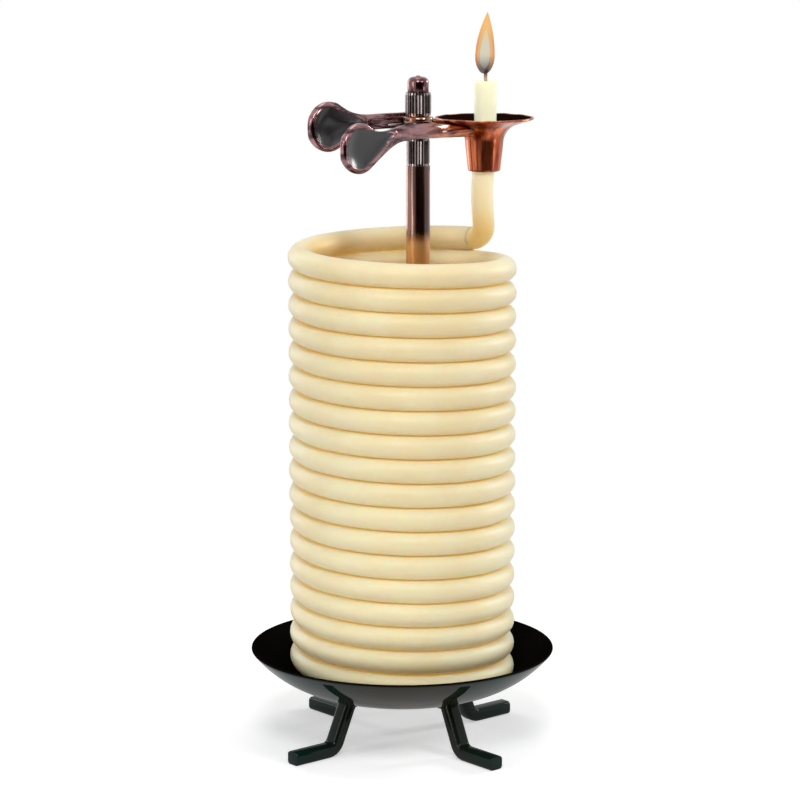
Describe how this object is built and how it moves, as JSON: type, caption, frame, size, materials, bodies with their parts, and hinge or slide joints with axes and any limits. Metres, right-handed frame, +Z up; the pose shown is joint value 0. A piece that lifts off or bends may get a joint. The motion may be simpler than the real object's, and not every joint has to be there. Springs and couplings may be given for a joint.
{
  "type": "coiled rope candle clock",
  "caption": "Coiled wax-rope candle on a round footed drip dish, its free end held upright by a sprung squeeze clip with finger pads, on a central post.",
  "frame": {"origin": "on the floor under the middle of the drip dish, which is the middle of the four feet", "axes": "+Z up along the coil's axis, +X to the right and +Y away from the viewer of the picture"},
  "size_m": [0.1214, 0.1214, 0.2741],
  "materials": {
    "black_enamel": "gloss black",
    "antique_copper": "dark antique copper plating, polished on the high spots",
    "bright_copper": "bright copper plating",
    "bare_steel": "plain",
    "wax": "natural pale beeswax",
    "wick": "braided cotton, charred at the end"
  },
  "bodies": {
    "stand": {"drip_dish": "black_enamel", "leg_rear_right": "black_enamel", "leg_rear_left": "black_enamel", "leg_front_left": "black_enamel", "leg_front_right": "black_enamel", "leg_rivets": "black_enamel", "post_tube": "antique_copper", "post_plug": "bare_steel", "post_screw": "bare_steel", "screw_washer": "bare_steel", "wax_coil": "wax", "wax_tail": "wax", "wick": "wick"},
    "clip": {"pivot_stem": "bare_steel", "lower_sleeve": "antique_copper", "upper_sleeve": "antique_copper", "dome_cap": "antique_copper", "thrust_washers": "bright_copper", "torsion_spring": "bare_steel"},
    "front_jaw": {"front_lever": "antique_copper", "front_socket_half": "bright_copper"},
    "rear_jaw": {"rear_lever": "antique_copper", "rear_socket_half": "bright_copper"}
  },
  "joints": [
    {"name": "clip_lift", "type": "slide", "parent": "stand", "child": "clip", "axis": [0, 0, 1], "range_m": [0, 0.045]},
    {"name": "jaw_front", "type": "hinge", "parent": "clip", "child": "front_jaw", "pos_m": [0.0062, 0, 0.2456], "axis": [0, 0, -1], "range_deg": [0, 9.5], "stiffness_Nm_per_rad": 0.1, "springref_deg": -11.46, "deforming": ["torsion_spring"]},
    {"name": "jaw_rear", "type": "hinge", "parent": "clip", "child": "rear_jaw", "pos_m": [0.0062, 0, 0.2512], "axis": [0, 0, 1], "range_deg": [0, 9.5], "stiffness_Nm_per_rad": 0.1, "springref_deg": -11.46}
  ],
  "couplings": [
    {"joint": "jaw_rear", "follows": "jaw_front", "ratio": 1}
  ]
}
